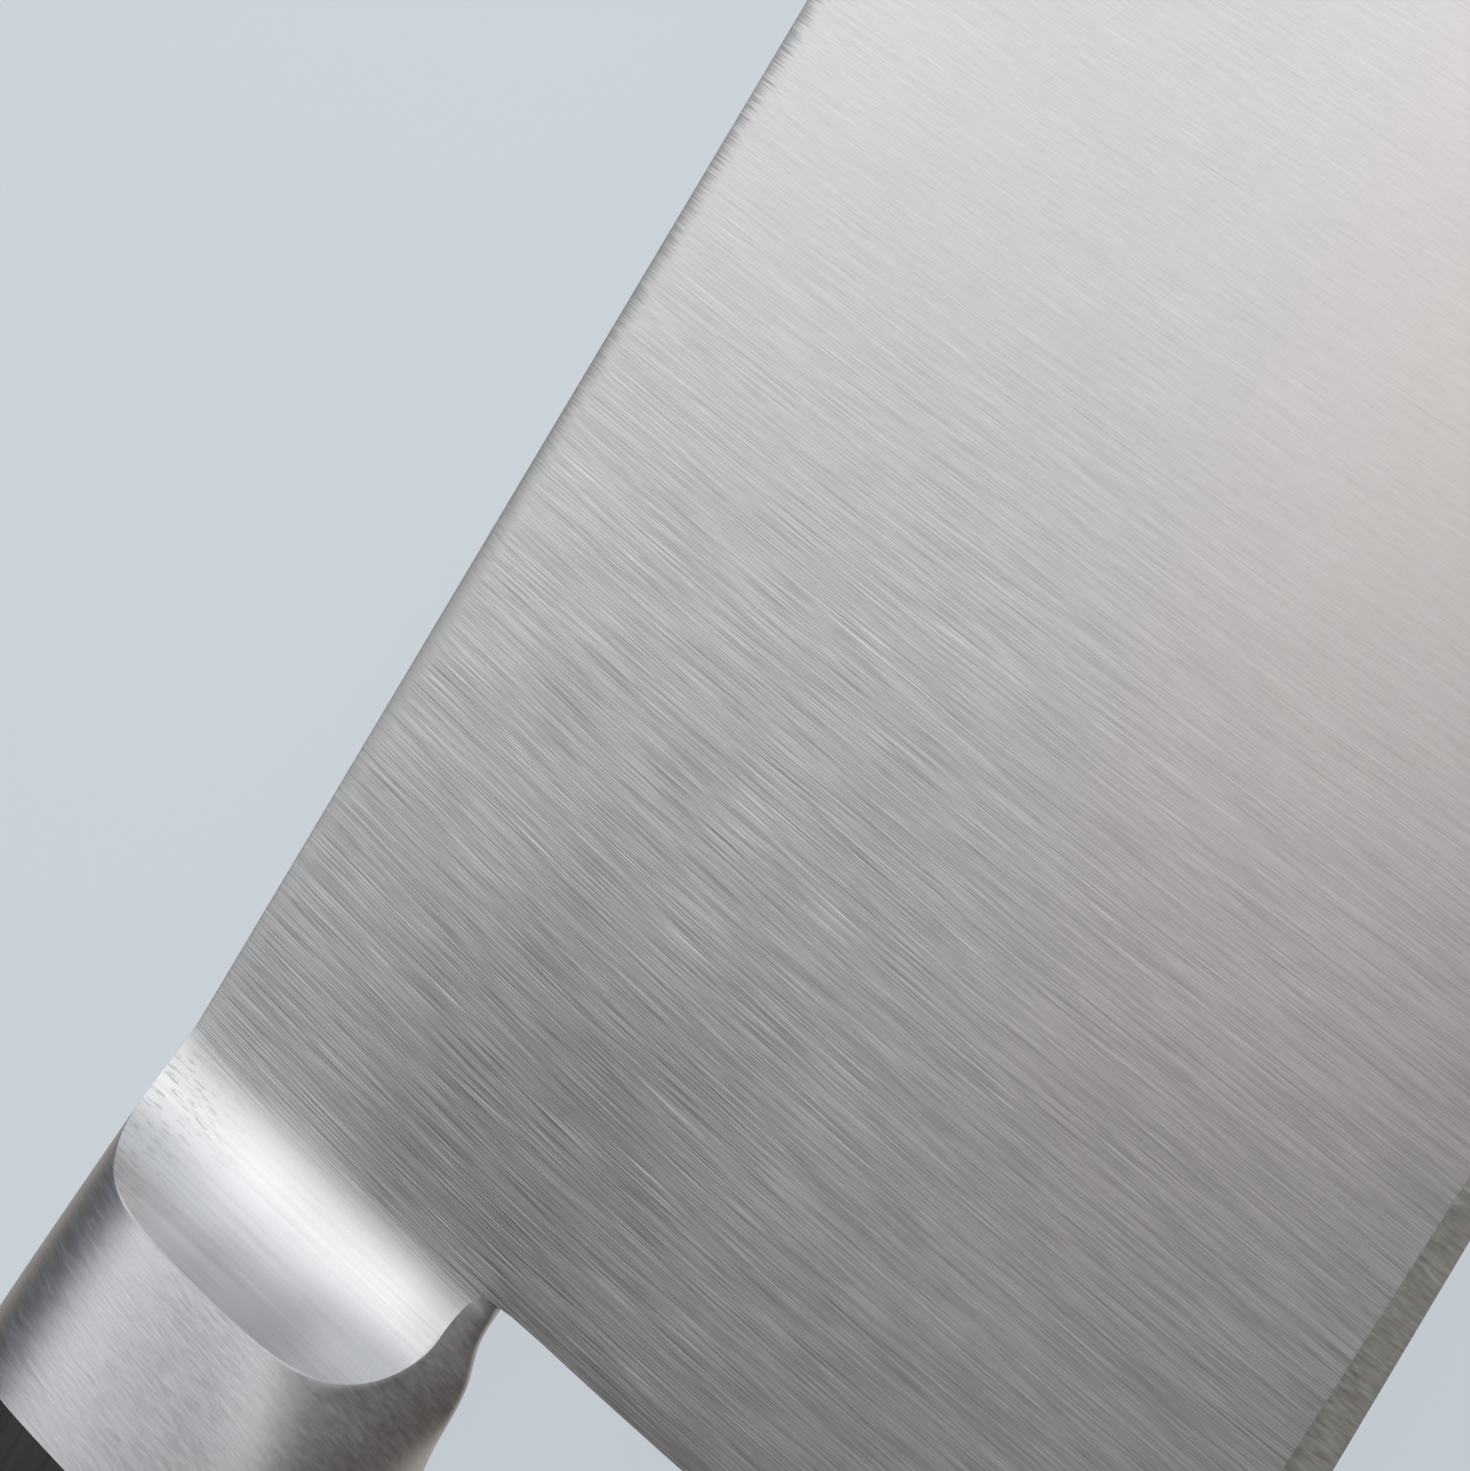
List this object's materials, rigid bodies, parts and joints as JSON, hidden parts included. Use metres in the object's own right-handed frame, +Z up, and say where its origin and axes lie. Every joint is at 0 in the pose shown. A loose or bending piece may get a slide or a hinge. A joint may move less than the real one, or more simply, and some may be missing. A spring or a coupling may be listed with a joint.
{
  "type": "gyuto knife",
  "caption": "Gyuto chef's knife: a brushed steel blade with an edge bevel, a welded bolster with hollow-ground scoops, and black scales riveted to a full tang.",
  "frame": {"origin": "under the middle of the knife's box, on the plane that the left scale lies on", "axes": "+X towards the tip, +Y towards the spine, +Z up out of the blade's right face"},
  "size_m": [0.3662, 0.0522, 0.0172],
  "materials": {
    "blade_steel": "satin, with hairlines across the blade",
    "bolster_steel": "satin, scoops ground along their length",
    "tang_steel": "satin, ground along the handle's edge",
    "scale_wood": "black laminated wood, satin",
    "rivet_steel": "ground flush, satin"
  },
  "bodies": {
    "root": {"blade": "blade_steel", "bolster": "bolster_steel", "tang": "tang_steel", "right_scale": "scale_wood", "left_scale": "scale_wood", "front_rivet_sleeve": "rivet_steel", "front_rivet_pin": "rivet_steel", "middle_rivet_sleeve": "rivet_steel", "middle_rivet_pin": "rivet_steel", "rear_rivet_sleeve": "rivet_steel", "rear_rivet_pin": "rivet_steel"}
  },
  "joints": []
}
